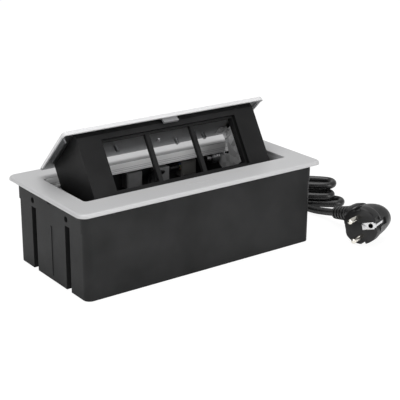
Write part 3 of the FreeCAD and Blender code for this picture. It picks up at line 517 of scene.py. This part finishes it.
# shell, from its face to its rear: depth, half-width along the pins' line, half-width across it
SHELL_RINGS = [
    (0, 16.6, 16.6),
    (0.5, 17.5, 17.5),
    (1.3, 18.1, 18.1),
    (9, 18.4, 18.5),
    (12, 18.0, 18.3),
    (13, 17.2, 17.6),
    (20, 16.9, 18.2),
    (28, 15.8, 18.6),
    (34, 14.2, 18.2),
    (37.6, 11.6, 16.2),
    (39.6, 8.2, 12.8),
    (40.6, 3.8, 7),
]
OVER_FACE = 2
PAST_RIM = 24.0
PLATE_BED = 16.3
CLIP_BED = 15.4
BED_HALF = 3.4
BED_DEPTH = 22
GROOVE_HALF = 2.6
GROOVE_FLOOR = 15.6
GROOVE_DEPTH = 14
GROOVE_TO = 22.0
FLAT_HALF = 20
FLAT_DEPTH = 8.5
FLAT_INSET = 0.3

# neck and boot, from the shell's inside down to the cord: reach along them and radius
BOOT_TIP = Vector((180.2, -40.2, 11.0))
NECK_DIR = Vector((0.082, 0.961, -0.259)).normalized()
NECK_TURN = NECK_DIR.to_track_quat("Z", "Y").to_euler()
NECK_END = 18.0
NECK_RINGS = [(0, 11.5), (7, 11.2), (12, 9.9), (15.5, 8.7), (NECK_END, 8.3)]
BOOT_END = 42.0
BOOT_RIBS = 5
BOOT_START = (NECK_END - 1.5, 6.4)
BOOT_STOP = (BOOT_END + 0.3, CORD_D / 2 + 0.3)
BOOT_CREST = 7.8
BOOT_TAPER = 0.3

# one rib of the boot: share of its length and depth under its crest
RIB_PROFILE = [(0.34, 1.7), (0.42, 0.0), (0.98, 0.15), (1.06, 2.2)]

# pins and earth contacts
PIN_OFF = 9.5
PIN_R = 2.4
PIN_END = 20.5
PIN_TIP = 1.6
EARTH_HOLE = 11.5
EARTH_R = 2.4
BORE_DEPTH = 16
BORE_OVER = 3
PLATE_T = 0.6
CONTACT_HALF = 2.2
STRIP_HALF = 1.1
STRIP_END = -19
CLIP_FACE = -0.8
CLIP_SPAN = (-16.0, -15.3)


def into_plug(target):
    pick_only(target)
    target.matrix_world = PLUG_PLACE
    bpy.ops.object.transform_apply(location=True, rotation=True, scale=True)
    return target


def neck_place(reach):
    return BOOT_TIP - NECK_DIR * (BOOT_END - reach)


def along_neck(name, stops):
    rings = [(neck_place(reach), radius, radius) for reach, radius in stops]
    return drawn_out(name, rings, NECK_TURN)


def make_shell():
    """Shell with its side grooves, the beds of the earth contacts, the earth bore and the neck."""
    rings = [(Vector((0, 0, -depth)), wide, deep) for depth, wide, deep in SHELL_RINGS]
    shell = drawn_out("plug_shell", rings)
    for end, bed in ((-1, CLIP_BED), (1, PLATE_BED)):
        past = end * PAST_RIM
        side = (end * GROOVE_FLOOR, end * GROOVE_TO)
        cut_block(shell, "groove", side, (-GROOVE_HALF, GROOVE_HALF), (-GROOVE_DEPTH, OVER_FACE))
        side = (end * bed, past)
        cut_block(shell, "bed", (-BED_HALF, BED_HALF), side, (-BED_DEPTH, OVER_FACE))
        side = (end * (bed + FLAT_INSET), past)
        cut_block(shell, "flat", (-FLAT_HALF, FLAT_HALF), side, (-FLAT_DEPTH, OVER_FACE))
    combine(shell, rod("bore", 0, EARTH_HOLE, -BORE_DEPTH, BORE_OVER, EARTH_R), "DIFFERENCE")
    into_plug(shell)
    combine(shell, along_neck("neck", NECK_RINGS), "UNION")
    soften(shell, 0.4, 2)
    return shell


def make_boot():
    """Strain relief with its ribs, each a little smaller than the last."""
    length = (BOOT_END - NECK_END) / BOOT_RIBS
    stops = [BOOT_START]
    for rib in range(BOOT_RIBS):
        base = NECK_END + rib * length
        crest = BOOT_CREST - BOOT_TAPER * rib
        stops += [(base + length * share, crest - under) for share, under in RIB_PROFILE]
    boot = along_neck("plug_boot", stops[:-1] + [BOOT_STOP])
    soften(boot, 0.2, 1)
    return boot


def make_earth():
    """Earth contact: its plate round the bore, its shoulder and its strip down the shell's side."""
    plate = block("earth_plate", (-3.3, 2.5, -PLATE_T), (3.5, 15, PLATE_T))
    shoulder = block("shoulder", (-CONTACT_HALF, 14, -PLATE_T), (CONTACT_HALF, PLATE_BED + 0.5, PLATE_T))
    combine(plate, shoulder, "UNION")
    strip = block("strip", (-STRIP_HALF, PLATE_BED - 0.1, STRIP_END), (STRIP_HALF, PLATE_BED + 0.6, 0.5))
    combine(plate, strip, "UNION")
    combine(plate, rod("hole", 0, EARTH_HOLE, -4, BORE_OVER, EARTH_R), "DIFFERENCE")
    soften(plate, 0.2, 2)
    return into_plug(plate)


def make_clip():
    """Earth clip on the other side, with a window in it."""
    near, far = CLIP_SPAN
    clip = block("earth_clip", (-CONTACT_HALF, near, STRIP_END), (CONTACT_HALF, far, CLIP_FACE))
    cut_block(clip, "window", (-0.9, 0.9), (-20, -12), (-14, -5))
    soften(clip, 0.15, 2)
    return into_plug(clip)


def make_pin(name, x):
    pin = rod(name, x, 0, -1, PIN_END, PIN_R, PIN_TIP)
    soften(pin, 0.1, 1)
    return into_plug(pin)


# bezel skirts
SKIRT_X = 111.45
SKIRT_T = 1.0
SKIRT_HALF = 33.5
SKIRT_LOW = 70.2
SKIRT_TOP = 79.2
NOTCHES = (-20.0, 0.0, 20.0)
NOTCH_HALF = 3.5
NOTCH_SPAN = (69, 71.4)


def make_skirt(name, side):
    """Inner skirt of the bezel along a short side of its opening, with notches along its foot."""
    near, far = sorted((side * SKIRT_X, side * (SKIRT_X + SKIRT_T)))
    skirt = block(name, (near, -SKIRT_HALF, SKIRT_LOW), (far, SKIRT_HALF, SKIRT_TOP))
    for notch in NOTCHES:
        span = (notch - NOTCH_HALF, notch + NOTCH_HALF)
        cut_block(skirt, "notch", (near - 1, far + 1), span, NOTCH_SPAN)
    soften(skirt, 0.3, 2)
    return skirt


def ride_as(obj, slot, *nodes):
    dress(obj, slot)
    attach(obj, "base")
    if nodes:
        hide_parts(*nodes)


ride_as(make_shell(), "plug_black", "plug_body")
ride_as(make_boot(), "cord_black", "plug_relief")
ride_as(make_pin("pin_upper", -PIN_OFF), "pin_brass", "plug_pin_live")
ride_as(make_pin("pin_lower", PIN_OFF), "pin_brass", "plug_pin_neutral")
ride_as(make_earth(), "bright_steel", "plug_earth_contact")
ride_as(make_clip(), "bright_steel", "plug_earth_clip")
ride_as(make_skirt("bezel_skirt_left", -1), "silver_paint")
ride_as(make_skirt("bezel_skirt_right", 1), "silver_paint")

CORD_END = neck_place(BOOT_END - CORD_SUNK)
CORD_ROUTE = LEAD + hank_route() + TAIL + [CORD_END + NECK_DIR * CORD_STRAIGHT, CORD_END]
mains_cord = nurbs_tube("mains_cord", CORD_ROUTE, CORD_D / 2)
ride_as(mains_cord, "cord_black", "cord_lead", "cord_hank", "cord_tail")


# studio
FLOOR_GLOW = 1.08
FLOOR_GLOW_SHARE = 0.86
ROOM_LIGHT = 0.5
ROOM_WHITE = 1.0

# camera, solved from the photo's edges: the photo's size, focal length and centre in pixels
PHOTO = 400
PHOTO_FOCAL = 1083.5
PHOTO_MIDDLE = (192.63, 199.01)
SENSOR = 36.0
CAMERA_RIGHT = Vector((0.810301, -0.586002, 0.003749))
CAMERA_UP = Vector((0.192227, 0.271837, 0.942949))
CAMERA_AHEAD = Vector((0.553589, 0.763352, -0.332915))
CAMERA_EYE = Vector((-0.546384, -0.792825, 0.390747))


def studio_floor():
    """A pale floor that the camera sees nearly white, with the part's shadow on it."""
    bpy.ops.object.select_all(action="DESELECT")
    bpy.ops.mesh.primitive_plane_add(size=30.0, location=(0, 0, -0.0006))
    floor = bpy.context.object
    floor.name = "studio_floor"
    paper = Finish("studio_paper", (0.9, 0.9, 0.9), 0.9)
    rays = paper.node("ShaderNodeLightPath", output="Is Camera Ray")
    light = {"Color": (1, 1, 1, 1), "Strength": FLOOR_GLOW}
    glow = paper.node("ShaderNodeEmission", inputs=light)
    surface = Signal(paper, paper.shader.outputs[0])
    seen = {0: rays * FLOOR_GLOW_SHARE, 1: surface, 2: glow}
    mix = paper.node("ShaderNodeMixShader", inputs=seen)
    paper.feed(paper.tree.nodes["Material Output"].inputs[0], mix)
    floor.data.materials.append(paper.material)


def studio_world():
    """A white room that lights the part at half of what the camera sees."""
    world = bpy.data.worlds.new("studio_world")
    bpy.context.scene.world = world
    world.use_nodes = True
    nodes = world.node_tree.nodes
    links = world.node_tree.links
    back = nodes["Background"]
    back.inputs["Color"].default_value = (1, 1, 1, 1)
    rays = nodes.new("ShaderNodeLightPath")
    level = nodes.new("ShaderNodeMapRange")
    level.inputs["To Min"].default_value = ROOM_LIGHT
    level.inputs["To Max"].default_value = ROOM_WHITE
    links.new(rays.outputs["Is Camera Ray"], level.inputs["Value"])
    links.new(level.outputs[0], back.inputs["Strength"])


def softbox(name, place, target, size, power):
    light = bpy.data.lights.new(name, "AREA")
    light.shape = "RECTANGLE"
    light.size, light.size_y = size
    light.energy = power
    lamp = bpy.data.objects.new(name, light)
    lamp.location = place
    lamp.rotation_euler = (Vector(target) - Vector(place)).to_track_quat("-Z", "Y").to_euler()
    bpy.context.scene.collection.objects.link(lamp)


def photo_camera():
    lens = bpy.data.cameras.new("photo_camera")
    lens.sensor_width = SENSOR
    lens.lens = PHOTO_FOCAL / PHOTO * SENSOR
    lens.shift_x = (PHOTO / 2 - PHOTO_MIDDLE[0]) / PHOTO
    lens.shift_y = (PHOTO_MIDDLE[1] - PHOTO / 2) / PHOTO
    lens.clip_start = 0.05
    lens.clip_end = 100
    camera = bpy.data.objects.new("photo_camera", lens)
    bpy.context.scene.collection.objects.link(camera)
    stand = Matrix((CAMERA_RIGHT, CAMERA_UP, -CAMERA_AHEAD)).transposed().to_4x4()
    stand.translation = CAMERA_EYE
    camera.matrix_world = stand
    bpy.context.scene.camera = camera


studio_floor()
studio_world()
softbox("top_box", (0.0, 0.1, 1.6), (0, 0, 0), (1.6, 1.2), 17)
softbox("left_box", (-1.4, -0.5, 0.7), (0, 0, 0.03), (0.9, 0.9), 6.5)
softbox("front_box", (0.4, -1.5, 0.6), (0, 0, 0.03), (1.0, 0.8), 9)
photo_camera()
bpy.context.scene.view_settings.view_transform = "Standard"
